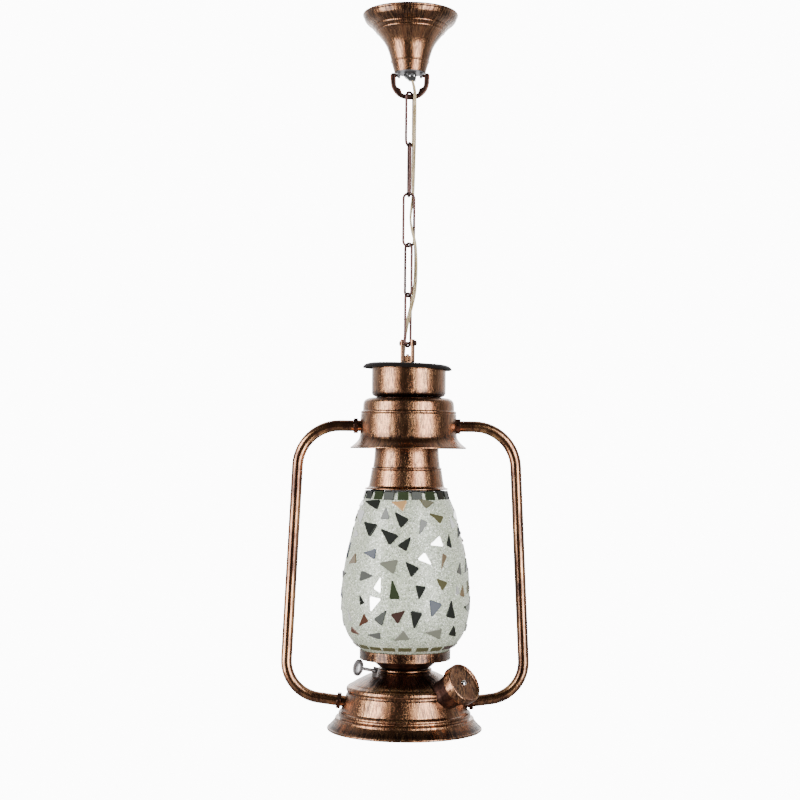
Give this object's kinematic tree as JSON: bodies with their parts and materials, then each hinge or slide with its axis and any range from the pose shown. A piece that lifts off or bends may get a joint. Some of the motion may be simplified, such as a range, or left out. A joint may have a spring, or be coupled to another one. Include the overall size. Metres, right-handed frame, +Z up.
{
  "type": "hanging lantern",
  "caption": "Ceiling lantern in the shape of an oil lamp: canopy, hook ring, chain with flex, bent side tubes, mosaic glass shade and round tank.",
  "frame": {"origin": "middle of the ceiling bracket's top face, on the ceiling", "axes": "+Z up into the ceiling, -Y towards the front, where the filler cap and the wick knob are; +X to the right seen from the front"},
  "size_m": [0.201, 0.1252, 0.5794],
  "materials": {
    "antique_copper": "antique copper, brushed dark streaks under clear lacquer",
    "dark_copper": "copper plate, darkened",
    "chrome": "polished",
    "zinc": "zinc plated steel",
    "black_plastic": "black moulded plastic",
    "rubber": "black rubber",
    "mosaic_glass": "pale glitter glass set with mirror chips",
    "bulb_glass": "opal",
    "clear_flex": "clear twin flex over copper strands"
  },
  "bodies": {
    "ceiling_mount": {"ceiling_bracket": "zinc", "threaded_nipple": "zinc", "nipple_nut": "zinc", "terminal_block": "black_plastic", "canopy": "antique_copper", "hanger_plate": "zinc", "cord_grip": "black_plastic", "flex_1": "clear_flex"},
    "hook_ring": {"hook_ring": "dark_copper"},
    "chain_link_1": {"chain_link_1": "dark_copper", "flex_2": "clear_flex"},
    "chain_link_2": {"chain_link_2": "dark_copper", "flex_3": "clear_flex"},
    "chain_link_3": {"chain_link_3": "dark_copper", "flex_4": "clear_flex"},
    "chain_link_4": {"chain_link_4": "dark_copper", "flex_5": "clear_flex"},
    "chain_link_5": {"chain_link_5": "dark_copper", "flex_6": "clear_flex"},
    "lantern": {"clevis": "antique_copper", "clevis_bolt": "dark_copper", "clevis_nut": "dark_copper", "hanger_screw": "dark_copper", "chimney_lid": "antique_copper", "flex_grommet": "rubber", "chimney_bowl": "antique_copper", "hood": "antique_copper", "neck": "antique_copper", "lampholder_bracket": "zinc", "lampholder_nipple": "zinc", "lampholder_body": "black_plastic", "bulb_cap": "chrome", "bulb_globe": "bulb_glass", "upper_gasket": "rubber", "glass_shade": "mosaic_glass", "lower_gasket": "rubber", "glass_collar": "antique_copper", "burner_cone": "dark_copper", "tank_neck_ring": "antique_copper", "tie_bolt": "zinc", "tie_nut": "zinc", "tank": "antique_copper", "tank_bottom": "zinc", "side_tube_left": "antique_copper", "side_tube_right": "antique_copper", "upper_tube_nut_left": "dark_copper", "upper_tube_nut_right": "dark_copper", "upper_tube_locknut_left": "dark_copper", "upper_tube_locknut_right": "dark_copper", "lower_tube_nut_left": "dark_copper", "lower_tube_nut_right": "dark_copper", "lower_tube_locknut_left": "dark_copper", "lower_tube_locknut_right": "dark_copper", "shaft_bracket": "zinc", "filler_cup": "dark_copper", "filler_cap": "antique_copper", "filler_cap_screw": "chrome", "flex_7": "clear_flex"},
    "wick_knob": {"wick_knob": "chrome", "wick_shaft": "chrome"}
  },
  "joints": [
    {"name": "hook_ring_swing", "type": "hinge", "parent": "ceiling_mount", "child": "hook_ring", "pos_m": [0, 0, -0.0502], "axis": [1, 0, 0], "range_deg": [-30, 30], "deforming": ["flex_1"]},
    {"name": "chain_link_1_swing", "type": "hinge", "parent": "hook_ring", "child": "chain_link_1", "pos_m": [0, 0, -0.0673], "axis": [-1, 0, 0], "range_deg": [-20, 20], "deforming": ["flex_2"]},
    {"name": "chain_link_2_swing", "type": "hinge", "parent": "chain_link_1", "child": "chain_link_2", "pos_m": [0, 0, -0.1072], "axis": [0.6428, 0.766, 0], "range_deg": [-15, 15], "deforming": ["flex_3"]},
    {"name": "chain_link_3_swing", "type": "hinge", "parent": "chain_link_2", "child": "chain_link_3", "pos_m": [0, 0, -0.14775], "axis": [0.1736, -0.9848, 0], "range_deg": [-25, 25], "deforming": ["flex_4"]},
    {"name": "chain_link_4_swing", "type": "hinge", "parent": "chain_link_3", "child": "chain_link_4", "pos_m": [0, 0, -0.1883], "axis": [-0.9848, -0.1736, 0], "range_deg": [-25, 25], "deforming": ["flex_5"]},
    {"name": "chain_link_5_swing", "type": "hinge", "parent": "chain_link_4", "child": "chain_link_5", "pos_m": [0, 0, -0.22885], "axis": [-0.5878, 0.809, 0], "range_deg": [-25, 25], "deforming": ["flex_6"]},
    {"name": "lantern_swing", "type": "hinge", "parent": "chain_link_5", "child": "lantern", "pos_m": [0, 0, -0.26685], "axis": [0.8572, -0.515, 0], "range_deg": [-30, 30], "deforming": ["flex_7"]},
    {"name": "wick_knob_turn", "type": "hinge", "parent": "lantern", "child": "wick_knob", "pos_m": [-0.03741, -0.02429, -0.5266], "axis": [-0.8172, -0.5307, 0.225], "continuous": true}
  ]
}
